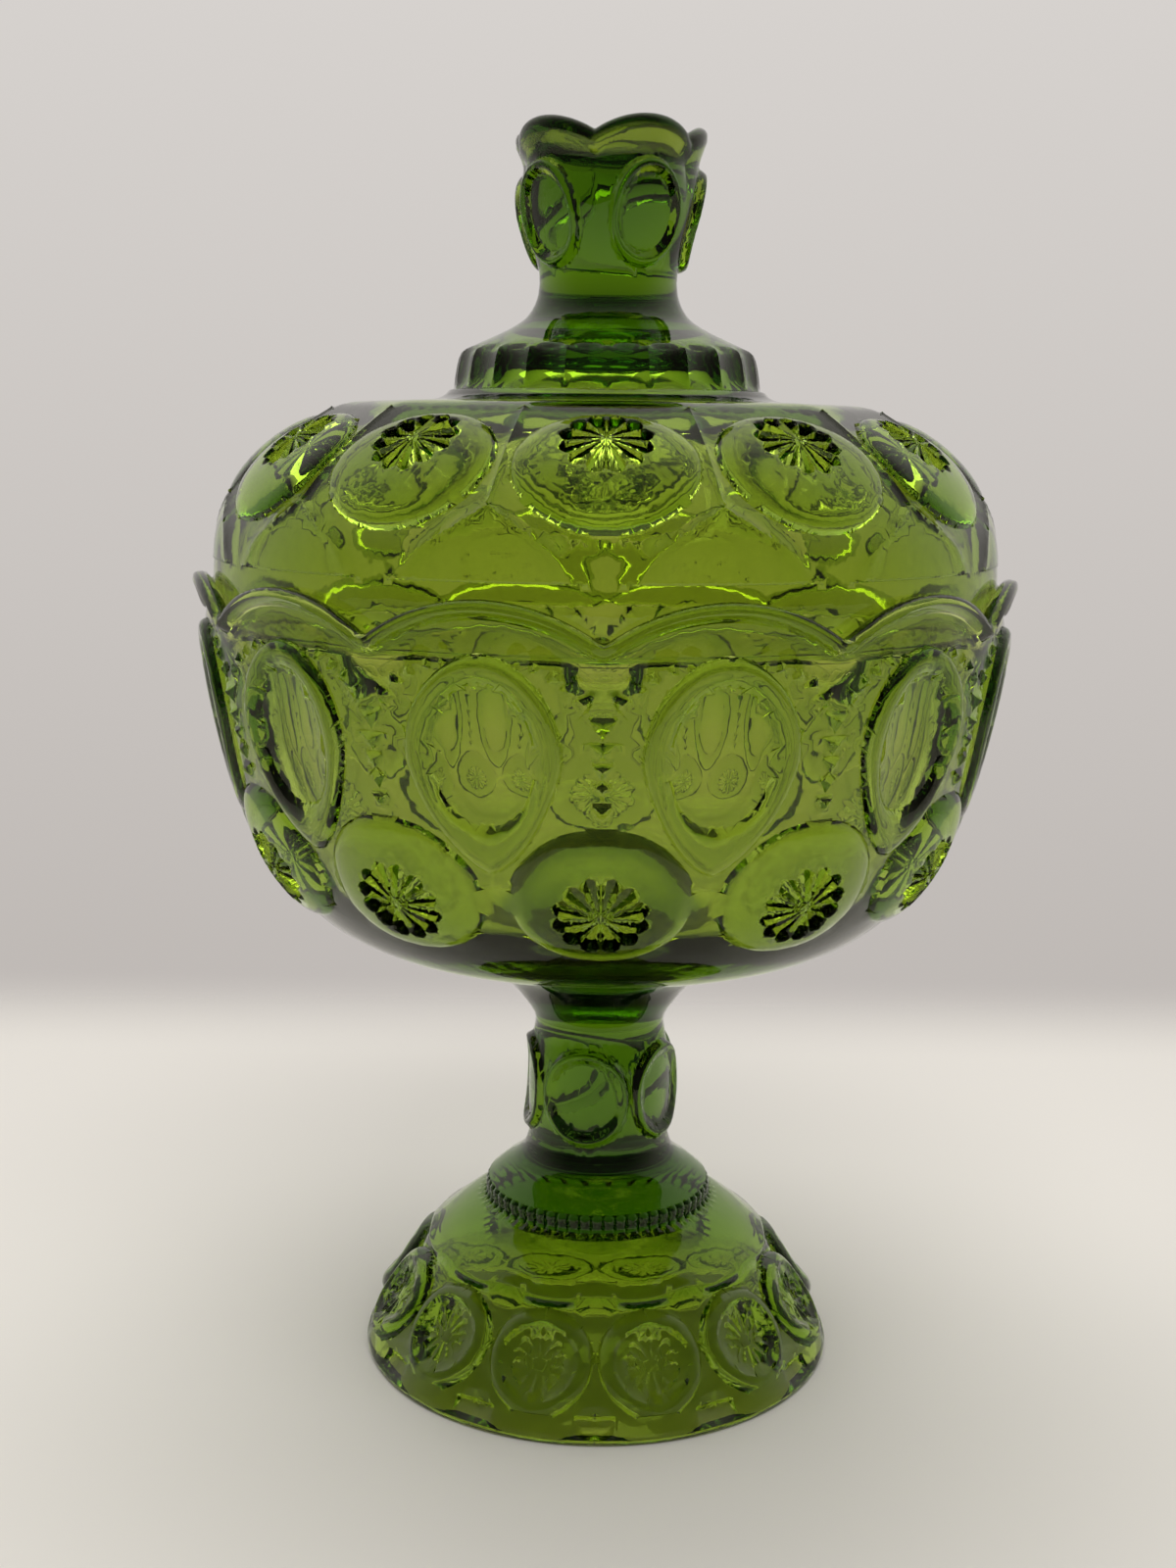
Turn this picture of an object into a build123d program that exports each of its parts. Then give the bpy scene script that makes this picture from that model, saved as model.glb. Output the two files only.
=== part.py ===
"""Lidded pressed-glass candy dish on a tall stem, in millimetres, +Z up.

The origin is the centre of the ring that the foot stands on. The dish is a bowl and a stemmed foot, joined
hot by a wafer of glass, and a loose lid with a finial that drops into the bowl's rim.
"""

import os
from math import cos, radians, sin, sqrt

from build123d import *

# Pattern that runs round the foot, the bowl and the lid
SECTORS = 12
DISC_GAP = 1.4  # between two discs of a row
ROOT = 6.0  # how deep a raised figure is rooted in the glass behind it
STEM_PANELS = 5  # ovals round the stem
STEM_TURN = -101.0  # first oval of the stem, in degrees from +X
FINIAL_PANELS = 5
FINIAL_TURN = -64.0

# Foot
FOOT_RADIUS = 60.2  # to the crown of a lobe
FOOT_NOTCH = 2.0  # how far the edge steps in between two lobes
FOOT_EDGE = 3.0
FOOT_WALL = 5.0
FOOT_MIDDLE_RADIUS = 52.0
FOOT_MIDDLE_HEIGHT = 15.3
FOOT_SHOULDER_RADIUS = 42.8
FOOT_SHOULDER_HEIGHT = 29.0
FOOT_TOP_RADIUS = 29.4
FOOT_TOP_HEIGHT = 39.6
FOOT_TOP_THICKNESS = 8.0
FOOT_DISC_CROWN = 1.6
FOOT_DISC_HEIGHT = 25.0
FOOT_DISH_RIM = 1.8  # flat ring round the dish in each foot disc
FOOT_DISH_DEPTH = 1.3

# Stem
BEAD_RING_RADIUS = 28.6
BEAD_RING_HEIGHT = 4.0
BEADS = 60
BEAD_GROOVE = 0.7
WAIST_RADIUS = 17.7
WAIST_HEIGHT = 57.0
BELLY_RADIUS = 19.0
BELLY_HEIGHT = 70.0
STEM_TOP_RADIUS = 16.3
STEM_TOP_HEIGHT = 86.4
STEM_OVAL_WIDTH = 21.0
STEM_OVAL_HEIGHT = 24.4
STEM_OVAL_BORDER = 2.4
STEM_OVAL_PROUD = 0.9

# Wafer of glass between the stem and the bowl
WAFER_RADIUS = 26.0
WAFER_EDGE = 1.0
WAFER_HEIGHT = 17.1

# Bowl
BOWL_RADIUS = 97.4  # bare wall at the rim, under the lip
BOWL_DEPTH = 97.0  # from the wafer to the highest point of the rim
BOWL_FLOOR = 5.5
BOWL_WALL = 4.8
BOWL_HEEL_RADIUS = 68.0  # where the flat underside turns up into the side
BOWL_HEEL_RISE = 13.0
BOWL_BELLY_RADIUS = 89.3
BOWL_BELLY_RISE = 38.5
RIM_DIP = 8.6  # how far the rim falls between two arches
RIM_WALL = 3.0
LIP_HEIGHT = 2.8
LIP_PROUD = 2.0
LEDGE_DEPTH = 4.4  # the lid's ledge, below the lowest point of the rim
LEDGE_WIDTH = 4.6
BOWL_DISC_HEIGHT = 35.0
BOWL_DISC_CROWN = 4.4
BOWL_DISC_PLACE = 0.24  # share of the way up the side
MOON_WIDTH = 33.0
MOON_HEIGHT = 46.0
MOON_BORDER = 4.6
MOON_PROUD = 1.8
MOON_PLACE = 0.66

# Lid
LID_CLEARANCE = 0.4  # all round, inside the rim
LID_WALL = 4.4
LID_SKIRT = 15.5  # straight lower part of the lid's side
LID_TOP_RADIUS = 65.0
LID_RISE = 50.8  # from the ledge to the edge of the lid's top
LID_CROWN_RISE = 3.0  # from that edge to the collar
LID_DISC_HEIGHT = 33.0
LID_DISC_CROWN = 3.6
LID_DISC_PLACE = 0.5

# Fluted collar and finial
COLLAR_RADIUS = 37.2
COLLAR_HEIGHT = 10.4
COLLAR_SEAT = 1.6  # plain glass outside the collar's foot
FLUTES = 24
FLUTE_WIDTH = 9.0
FLUTE_DEPTH = 0.8
WELL_RADIUS = 27.0  # hollow under the collar
WELL_DEPTH = 8.0
NECK_RADIUS = 16.4
NECK_RISE = 15.6  # from the collar's top edge
CROWN_BELLY_RADIUS = 22.0
CROWN_BELLY_RISE = 21.0
CROWN_RADIUS = 22.4
CROWN_RISE = 38.2  # from the neck
CROWN_DIP = 3.2
CUP_RADIUS = 18.8
CUP_DEPTH = 17.0
FINIAL_OVAL_WIDTH = 18.0
FINIAL_OVAL_HEIGHT = 24.0
FINIAL_OVAL_BORDER = 2.4
FINIAL_OVAL_PROUD = 0.9
FINIAL_OVAL_PLACE = 0.5

# Heights that follow from the sizes above
BOWL_BASE = STEM_TOP_HEIGHT + WAFER_HEIGHT
RIM_TOP = BOWL_BASE + BOWL_DEPTH
LEDGE = RIM_TOP - RIM_DIP - LEDGE_DEPTH
LID_EDGE = LEDGE + LID_RISE
COLLAR_BASE = LID_EDGE + LID_CROWN_RISE
COLLAR_TOP = COLLAR_BASE + COLLAR_HEIGHT
NECK = COLLAR_TOP + NECK_RISE
CROWN = NECK + CROWN_RISE

RIM_BORE = BOWL_RADIUS - RIM_WALL
LID_RADIUS = RIM_BORE - LID_CLEARANCE


def turned(*lines):
    """Solid turned about Z from the lines of a closed outline, drawn as radius and height."""
    edges = [edge for line in lines for edge in line.edges()]
    return revolve(Plane.XZ * make_face(edges), Axis.Z)


def ring_of(solid, count, turn=0.0):
    """Copies of a solid, spread evenly round Z from an angle in degrees."""
    return [Rot(0, 0, turn + 360 * index / count) * solid for index in range(count)]


def plane_on(side, share):
    """Plane that touches a turned side at a share of its length, with x round the axis and z outwards."""
    point, run = side @ share, side % share
    return Plane((point.X, 0, point.Y), x_dir=(0, 1, 0), z_dir=(run.Y, 0, -run.X))


def pitch(radius, count=SECTORS):
    """Straight distance between two neighbours of a ring of figures."""
    return 2 * radius * sin(radians(180 / count))


def cap(plane, width, height, crown):
    """Oval button with a domed face, rooted behind the plane."""
    dome = (width * width / 4 + crown * crown) / (2 * crown)
    button = extrude(Ellipse(width / 2, height / 2), amount=crown + ROOT)
    return plane * (Pos(0, 0, -ROOT) * button & Pos(0, 0, crown - dome) * Sphere(dome))


def oval_border(plane, width, height, border, proud):
    """Raised band round an oval, rooted behind the plane and standing well out of it."""
    outline = Ellipse(width / 2, height / 2) - Ellipse(width / 2 - border, height / 2 - border)
    return plane * Pos(0, 0, -ROOT) * extrude(outline, amount=ROOT + 2 * proud + border)


def arch_cut(radius, count, crown, dip, height, below=False):
    """Block above, or below, the two half arches on either side of a dip at +X."""
    half = (radius + ROOT) * sin(radians(180 / count))
    level = crown - height if below else crown + height
    right = TangentArc((half, crown), (0, dip), tangent=(-1, 0))
    left = TangentArc((-half, crown), (0, dip), tangent=(1, 0))
    frame = Polyline((half, crown), (half, level), (-half, level), (-half, crown))
    block = make_face([*right.edges(), *left.edges(), *frame.edges()])
    plane = Plane((radius / 2, 0, 0), x_dir=(0, 1, 0), z_dir=(1, 0, 0))
    return extrude(plane * block, amount=radius / 2 + 2 * ROOT)


def foot_side():
    """Sloping side of the foot, from its edge to its shoulder."""
    return Spline(
        (FOOT_RADIUS, FOOT_EDGE),
        (FOOT_MIDDLE_RADIUS, FOOT_MIDDLE_HEIGHT),
        (FOOT_SHOULDER_RADIUS, FOOT_SHOULDER_HEIGHT),
        tangents=((-0.4, 1), (-0.7, 1)),
    )


def make_foot():
    """Hollow foot with a lobed edge and a row of dished discs."""
    side = foot_side()
    top = Spline(
        (FOOT_SHOULDER_RADIUS, FOOT_SHOULDER_HEIGHT),
        (FOOT_TOP_RADIUS, FOOT_TOP_HEIGHT),
        tangents=((-1, 0.7), (-0.8, 1)),
    )
    shell = turned(
        Polyline((0, FOOT_TOP_HEIGHT), (0, 0), (FOOT_RADIUS, 0), (FOOT_RADIUS, FOOT_EDGE)),
        side,
        top,
        Line((FOOT_TOP_RADIUS, FOOT_TOP_HEIGHT), (0, FOOT_TOP_HEIGHT)),
    )
    plane = plane_on(side, 0.5)
    width = pitch(plane.origin.X) - DISC_GAP
    disc = plane * Pos(0, 0, -ROOT) * extrude(
        Ellipse(width / 2, FOOT_DISC_HEIGHT / 2), amount=ROOT + FOOT_DISC_CROWN
    )
    dish_width = width - 2 * FOOT_DISH_RIM
    dish_radius = (dish_width**2 / 4 + FOOT_DISH_DEPTH**2) / (2 * FOOT_DISH_DEPTH)
    dish = plane * Pos(0, 0, FOOT_DISC_CROWN - FOOT_DISH_DEPTH + dish_radius) * Sphere(dish_radius)
    shell = shell + ring_of(disc - dish, SECTORS, 180 / SECTORS) - ring_of(dish, SECTORS, 180 / SECTORS)
    roof = FOOT_TOP_HEIGHT - FOOT_TOP_THICKNESS
    hollow = turned(
        Polyline((0, roof), (0, -1), (FOOT_RADIUS - FOOT_WALL, -1), (FOOT_RADIUS - FOOT_WALL, FOOT_EDGE)),
        Spline(
            (FOOT_RADIUS - FOOT_WALL, FOOT_EDGE),
            (FOOT_MIDDLE_RADIUS - FOOT_WALL, FOOT_MIDDLE_HEIGHT - FOOT_WALL / 2),
            (FOOT_SHOULDER_RADIUS - FOOT_WALL, FOOT_SHOULDER_HEIGHT - FOOT_WALL),
            (0, roof),
            tangents=((-0.4, 1), (-1, 0)),
        ),
    )
    return (shell & lobed_block()) - hollow


def lobed_block():
    """Upright block whose outline is one shallow lobe to each sector."""
    edges = []
    for index in range(SECTORS):
        start = 360 * index / SECTORS
        angles = (start, start + 180 / SECTORS, start + 360 / SECTORS)
        radii = (FOOT_RADIUS - FOOT_NOTCH, FOOT_RADIUS, FOOT_RADIUS - FOOT_NOTCH)
        ends = [(r * cos(radians(a)), r * sin(radians(a))) for r, a in zip(radii, angles)]
        edges.extend(ThreePointArc(*ends).edges())
    return extrude(make_face(edges), amount=FOOT_TOP_HEIGHT)


def make_stem():
    """Solid stem with a beaded ring at its foot and a ring of bordered ovals."""
    ring_top = FOOT_TOP_HEIGHT + BEAD_RING_HEIGHT
    skirt = Spline((BEAD_RING_RADIUS, ring_top), (WAIST_RADIUS, WAIST_HEIGHT), tangents=((-1, 0.9), (0, 1)))
    barrel = Spline(
        (WAIST_RADIUS, WAIST_HEIGHT),
        (BELLY_RADIUS, BELLY_HEIGHT),
        (STEM_TOP_RADIUS, STEM_TOP_HEIGHT),
        tangents=((0, 1), (-0.2, 1)),
    )
    foot = Polyline((0, STEM_TOP_HEIGHT), (0, FOOT_TOP_HEIGHT), (BEAD_RING_RADIUS, FOOT_TOP_HEIGHT))
    stem = turned(
        foot,
        Line((BEAD_RING_RADIUS, FOOT_TOP_HEIGHT), (BEAD_RING_RADIUS, ring_top)),
        skirt,
        barrel,
        Line((STEM_TOP_RADIUS, STEM_TOP_HEIGHT), (0, STEM_TOP_HEIGHT)),
    )
    groove = Pos(BEAD_RING_RADIUS, 0, FOOT_TOP_HEIGHT) * extrude(Circle(BEAD_GROOVE), amount=BEAD_RING_HEIGHT)
    plane = Plane((BELLY_RADIUS, 0, BELLY_HEIGHT), x_dir=(0, 1, 0), z_dir=(1, 0, 0))
    border = oval_border(plane, STEM_OVAL_WIDTH, STEM_OVAL_HEIGHT, STEM_OVAL_BORDER, STEM_OVAL_PROUD)
    swell = turned(
        Polyline((0, STEM_TOP_HEIGHT), (0, WAIST_HEIGHT - ROOT), (WAIST_RADIUS, WAIST_HEIGHT - ROOT)),
        Spline(
            (WAIST_RADIUS, WAIST_HEIGHT - ROOT),
            (BELLY_RADIUS + STEM_OVAL_PROUD, BELLY_HEIGHT),
            (STEM_TOP_RADIUS, STEM_TOP_HEIGHT),
            tangents=((0.2, 1), (-0.2, 1)),
        ),
        Line((STEM_TOP_RADIUS, STEM_TOP_HEIGHT), (0, STEM_TOP_HEIGHT)),
    )
    return stem - ring_of(groove, BEADS) + ring_of(border & swell, STEM_PANELS, STEM_TURN)


def make_wafer():
    """Disc of hot glass that was pressed between the stem and the bowl."""
    return turned(
        Polyline((0, BOWL_BASE), (0, STEM_TOP_HEIGHT), (STEM_TOP_RADIUS, STEM_TOP_HEIGHT)),
        Spline(
            (STEM_TOP_RADIUS, STEM_TOP_HEIGHT),
            (WAFER_RADIUS, BOWL_BASE - WAFER_EDGE),
            tangents=((0.5, 1), (1, 0.8)),
        ),
        Polyline((WAFER_RADIUS, BOWL_BASE - WAFER_EDGE), (WAFER_RADIUS, BOWL_BASE), (0, BOWL_BASE)),
    )


def bowl_side(shift=0.0):
    """Outer side of the bowl from its heel to its rim, moved out by a shift."""
    return Spline(
        (BOWL_HEEL_RADIUS + shift, BOWL_BASE + BOWL_HEEL_RISE),
        (BOWL_BELLY_RADIUS + shift, BOWL_BASE + BOWL_BELLY_RISE),
        (BOWL_RADIUS + shift, RIM_TOP),
        tangents=((1, 0.7), (0.01, 1)),
    )


def bowl_block(shift=0.0):
    """Bowl as if it were solid glass, moved out by a shift."""
    return turned(
        Polyline(
            (0, RIM_TOP),
            (0, BOWL_BASE),
            (WAFER_RADIUS, BOWL_BASE),
            (BOWL_HEEL_RADIUS + shift, BOWL_BASE + BOWL_HEEL_RISE),
        ),
        bowl_side(shift),
        Line((BOWL_RADIUS + shift, RIM_TOP), (0, RIM_TOP)),
    )


def bowl_hollow():
    """Inside of the bowl, with the ledge that carries the lid."""
    bore = RIM_BORE - LEDGE_WIDTH
    return turned(
        Polyline((0, LEDGE), (0, BOWL_BASE + BOWL_FLOOR), (WAFER_RADIUS, BOWL_BASE + BOWL_FLOOR)),
        Spline(
            (WAFER_RADIUS, BOWL_BASE + BOWL_FLOOR),
            (BOWL_HEEL_RADIUS - BOWL_WALL / 2, BOWL_BASE + BOWL_HEEL_RISE + BOWL_WALL),
            (BOWL_BELLY_RADIUS - BOWL_WALL, BOWL_BASE + BOWL_BELLY_RISE),
            (bore, LEDGE),
            tangents=((1, 0.15), (0.02, 1)),
        ),
        Line((bore, LEDGE), (0, LEDGE)),
    )


def make_bowl():
    """Bowl with a row of domed discs, a row of bordered moons and an arched rim with a lip."""
    side = bowl_side()
    low = plane_on(side, BOWL_DISC_PLACE)
    disc = cap(low, pitch(low.origin.X) - DISC_GAP, BOWL_DISC_HEIGHT, BOWL_DISC_CROWN)
    moon = oval_border(plane_on(side, MOON_PLACE), MOON_WIDTH, MOON_HEIGHT, MOON_BORDER, MOON_PROUD)
    moon = moon & bowl_block(MOON_PROUD)
    dip = RIM_TOP - RIM_DIP
    above = arch_cut(BOWL_RADIUS, SECTORS, RIM_TOP, dip, 2 * ROOT)
    below = arch_cut(BOWL_RADIUS, SECTORS, RIM_TOP - LIP_HEIGHT, dip - LIP_HEIGHT, RIM_DIP + ROOT, below=True)
    band = RIM_DIP + LIP_HEIGHT
    ring = Pos(0, 0, -band) * extrude(Circle(BOWL_RADIUS + LIP_PROUD), amount=band)
    lip = Pos(0, 0, RIM_TOP) * ring - ring_of(below, SECTORS)
    bore = Pos(0, 0, LEDGE) * extrude(Circle(RIM_BORE), amount=RIM_TOP)
    bowl = bowl_block() + ring_of(disc, SECTORS) + ring_of(moon, SECTORS, 180 / SECTORS) + lip
    return bowl - [bowl_hollow(), bore] - ring_of(above, SECTORS)


def lid_side(shift=0.0):
    """Domed side of the lid from its skirt to the edge of its top, moved in by a shift."""
    return Spline(
        (LID_RADIUS - shift, LEDGE + LID_SKIRT),
        (LID_TOP_RADIUS - shift / 2, LID_EDGE - shift),
        tangents=((-0.24, 1), (-1, 0.6)),
    )


def make_lid():
    """Domed lid with a row of domed discs, open at the top where the finial's hollow stands on it."""
    seat = COLLAR_RADIUS + COLLAR_SEAT
    block = turned(
        Polyline((0, COLLAR_BASE), (0, LEDGE), (LID_RADIUS, LEDGE), (LID_RADIUS, LEDGE + LID_SKIRT)),
        lid_side(),
        Polyline((LID_TOP_RADIUS, LID_EDGE), (seat, COLLAR_BASE), (0, COLLAR_BASE)),
    )
    plane = plane_on(lid_side(), LID_DISC_PLACE)
    disc = cap(plane, pitch(plane.origin.X) - DISC_GAP, LID_DISC_HEIGHT, LID_DISC_CROWN)
    inner = lid_side(LID_WALL)
    hollow = turned(
        Polyline(
            (0, COLLAR_BASE - LID_WALL),
            (0, LEDGE),
            (LID_RADIUS - LID_WALL, LEDGE),
            (LID_RADIUS - LID_WALL, LEDGE + LID_SKIRT),
        ),
        inner,
        Polyline(
            (LID_TOP_RADIUS - LID_WALL / 2, LID_EDGE - LID_WALL),
            (seat, COLLAR_BASE - LID_WALL),
            (0, COLLAR_BASE - LID_WALL),
        ),
    )
    well = Pos(0, 0, LEDGE) * extrude(Circle(WELL_RADIUS), amount=LID_RISE + ROOT)
    return block + ring_of(disc, SECTORS) - [hollow, well]


def petal_side(shift=0.0):
    """Outer side of the finial from its neck to its crown, moved out by a shift."""
    return Spline(
        (NECK_RADIUS + shift, NECK),
        (CROWN_BELLY_RADIUS + shift, NECK + CROWN_BELLY_RISE),
        (CROWN_RADIUS + shift, CROWN),
        tangents=((0, 1), (0.02, 1)),
    )


def make_finial():
    """Fluted collar, cone, neck and crown with a cupped top, hollow underneath."""
    cone = Spline((COLLAR_RADIUS, COLLAR_TOP), (NECK_RADIUS, NECK), tangents=((-1, 0.45), (0, 1)))
    petal = petal_side()
    block = turned(
        Polyline((0, CROWN), (0, COLLAR_BASE), (COLLAR_RADIUS, COLLAR_BASE), (COLLAR_RADIUS, COLLAR_TOP)),
        cone,
        petal,
        Line((CROWN_RADIUS, CROWN), (0, CROWN)),
    )
    flute_radius = (FLUTE_WIDTH**2 / 4 + FLUTE_DEPTH**2) / (2 * FLUTE_DEPTH)
    reach = sqrt(COLLAR_RADIUS**2 - FLUTE_WIDTH**2 / 4) + flute_radius - FLUTE_DEPTH
    flute = Pos(reach, 0, COLLAR_BASE) * extrude(Circle(flute_radius), amount=COLLAR_HEIGHT)
    place = plane_on(petal, FINIAL_OVAL_PLACE)
    border = oval_border(place, FINIAL_OVAL_WIDTH, FINIAL_OVAL_HEIGHT, FINIAL_OVAL_BORDER, FINIAL_OVAL_PROUD)
    swell = turned(
        Polyline((0, CROWN), (0, NECK), (NECK_RADIUS + FINIAL_OVAL_PROUD, NECK)),
        petal_side(FINIAL_OVAL_PROUD),
        Line((CROWN_RADIUS + FINIAL_OVAL_PROUD, CROWN), (0, CROWN)),
    )
    well = Pos(0, 0, COLLAR_BASE) * extrude(Circle(WELL_RADIUS), amount=WELL_DEPTH, taper=20)
    cup = turned(
        Polyline((0, CROWN + 1), (0, CROWN - CUP_DEPTH)),
        Spline((0, CROWN - CUP_DEPTH), (CUP_RADIUS, CROWN), tangents=((1, 0), (0.15, 1))),
        Polyline((CUP_RADIUS, CROWN), (CUP_RADIUS, CROWN + 1), (0, CROWN + 1)),
    )
    above = arch_cut(CROWN_RADIUS, FINIAL_PANELS, CROWN, CROWN - CROWN_DIP, ROOT)
    finial = block - ring_of(flute, FLUTES) + ring_of(border & swell, FINIAL_PANELS, FINIAL_TURN)
    return finial - [well, cup] - ring_of(above, FINIAL_PANELS, FINIAL_TURN + 180 / FINIAL_PANELS)


PIECES = {
    "foot": make_foot,
    "stem": make_stem,
    "joining_wafer": make_wafer,
    "bowl": make_bowl,
    "lid_dome": make_lid,
    "lid_finial": make_finial,
}

os.makedirs("parts", exist_ok=True)
for name, make in PIECES.items():
    export_step(make(), f"parts/{name}.step")
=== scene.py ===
"""Covered pressed-glass compote: two skins of green glass over the CAD frame, a pale table and soft light.

Sizes are in millimetres, in the frame of the CAD model, and become metres when a skin is shaped. The front of
the dish faces -Y. Turn is the angle round the axis from the front, positive towards +X.
"""

import logging
from collections.abc import Callable
from dataclasses import dataclass, field
from enum import Enum
from math import atan2, cos, degrees, exp, hypot, pi, radians, sin, sqrt

import bmesh
import bpy
from mathutils import Euler, Matrix, Vector


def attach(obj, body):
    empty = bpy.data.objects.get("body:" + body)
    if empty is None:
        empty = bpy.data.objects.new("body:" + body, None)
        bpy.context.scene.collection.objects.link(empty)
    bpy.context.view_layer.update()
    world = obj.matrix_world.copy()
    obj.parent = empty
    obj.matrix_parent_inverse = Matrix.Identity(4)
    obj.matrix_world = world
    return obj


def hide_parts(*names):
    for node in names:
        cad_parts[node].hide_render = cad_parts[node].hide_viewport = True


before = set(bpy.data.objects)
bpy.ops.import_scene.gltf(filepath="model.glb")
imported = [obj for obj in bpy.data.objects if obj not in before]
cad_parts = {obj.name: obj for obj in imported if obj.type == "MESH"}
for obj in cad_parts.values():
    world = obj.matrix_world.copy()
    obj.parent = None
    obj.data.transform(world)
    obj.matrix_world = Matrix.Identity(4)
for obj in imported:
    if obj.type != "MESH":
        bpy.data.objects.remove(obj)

LOG = logging.getLogger("compote")
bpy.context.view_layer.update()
MM = 0.001
JOINT_COLUMNS = 120  # vertices round the rings where two patches of a skin meet
SECTOR = 30.0  # degrees between two discs of the bowl, the lid and the foot
HALF = SECTOR / 2

Point = tuple[float, float]
Hump = tuple[float, float, float, float]  # where a shape starts, is full, fades and ends


def smooth_step(low: float, high: float, value: float) -> float:
    """Ramp from 0 to 1 with soft ends.

    Args:
        low: Value where the ramp starts.
        high: Value where it ends; it may be smaller than low for a falling ramp.
        value: Where to read the ramp.

    Returns:
        A number from 0 to 1.
    """
    share = min(1.0, max(0.0, (value - low) / (high - low)))
    return share * share * (3.0 - 2.0 * share)


def rise_and_fall(hump: Hump, value: float) -> float:
    """How full a shape is at a value, from 0 to 1."""
    start, full, fade, end = hump
    return smooth_step(end, fade, value) * smooth_step(start, full, value)


class Outline:
    """Smooth outline of a turned skin, made of runs that may meet at corners."""

    SAMPLES = 160
    STEPS = 32  # of the curve between two knots, before it is read evenly

    def __init__(self, *runs: tuple[Point, ...]) -> None:
        """Reads each run into evenly spaced samples.

        Args:
            runs: Radius and height of the points of each run; a run starts where the one before it ends.
        """
        self.runs = [self._sample(run) for run in runs]
        self.lengths = [
            sum(hypot(b[0] - a[0], b[1] - a[1]) for a, b in zip(run, run[1:])) for run in self.runs
        ]

    def _sample(self, run: tuple[Point, ...]) -> list[Point]:
        """Evenly spaced points along a Catmull-Rom curve through a run.

        Args:
            run: Points of the run, in millimetres.

        Returns:
            Samples at equal distances along the curve.
        """
        knots = [Vector(point) for point in run]
        if len(knots) == 2:
            return [tuple(knots[0].lerp(knots[1], i / self.SAMPLES)) for i in range(self.SAMPLES + 1)]
        ends = [2 * knots[0] - knots[1], *knots, 2 * knots[-1] - knots[-2]]
        dense = [knots[0]]
        for index in range(1, len(ends) - 2):
            a, b, c, d = ends[index - 1 : index + 3]
            for step in range(1, self.STEPS + 1):
                s = step / self.STEPS
                slope_b, slope_c = self._slope(a, b, c), self._slope(b, c, d)
                size = (c - b).length
                h = (2 * s**3 - 3 * s**2 + 1, s**3 - 2 * s**2 + s, 3 * s**2 - 2 * s**3, s**3 - s**2)
                dense.append(h[0] * b + h[1] * size * slope_b + h[2] * c + h[3] * size * slope_c)
        length = [0.0]
        for before, after in zip(dense, dense[1:]):
            length.append(length[-1] + (after - before).length)
        samples, at = [], 0
        for index in range(self.SAMPLES + 1):
            goal = length[-1] * index / self.SAMPLES
            while at < len(dense) - 2 and length[at + 1] < goal:
                at += 1
            share = (goal - length[at]) / max(1e-9, length[at + 1] - length[at])
            samples.append(tuple(dense[at].lerp(dense[at + 1], min(1.0, share))))
        return samples

    @staticmethod
    def _slope(before: Vector, here: Vector, after: Vector) -> Vector:
        """Direction of the curve at a knot, weighted so that uneven knots give no overshoot."""
        back, ahead = (here - before), (after - here)
        p, q = back.length, ahead.length
        return ((back / p) * q + (ahead / q) * p) / (p + q)

    def read(self, run: float) -> tuple[Point, Point]:
        """Point and outward normal at a place on the outline.

        Args:
            run: Number of the run plus the share of its length.

        Returns:
            Radius and height of the point, then of the unit normal to the left of the way along.
        """
        index = min(len(self.runs) - 1, int(run))
        samples = self.runs[index]
        place = (run - index) * self.SAMPLES
        low = min(self.SAMPLES - 1, max(0, int(place)))
        share = place - low
        (r0, z0), (r1, z1) = samples[low], samples[low + 1]
        back = samples[max(0, low - 1)]
        ahead = samples[min(self.SAMPLES, low + 2)]
        along = (ahead[0] - back[0], ahead[1] - back[1])
        size = hypot(*along) or 1.0
        point = (r0 + (r1 - r0) * share, z0 + (z1 - z0) * share)
        return point, (along[1] / size, -along[0] / size)

    def length(self, index: int) -> float:
        """Length of a run in millimetres."""
        return self.lengths[index]

    def find(self, index: int, height: float) -> float:
        """Place on a run where it comes nearest to a height."""
        samples = self.runs[index]
        nearest = min(range(len(samples)), key=lambda at: abs(samples[at][1] - height))
        return index + nearest / self.SAMPLES


@dataclass(frozen=True)
class Density:
    """How finely one run of a patch is divided, in millimetres."""

    coarse: float  # longest edge
    fine: float  # shortest edge that may still be divided
    tolerance: float  # how far the shaped surface may bulge from an edge


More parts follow.
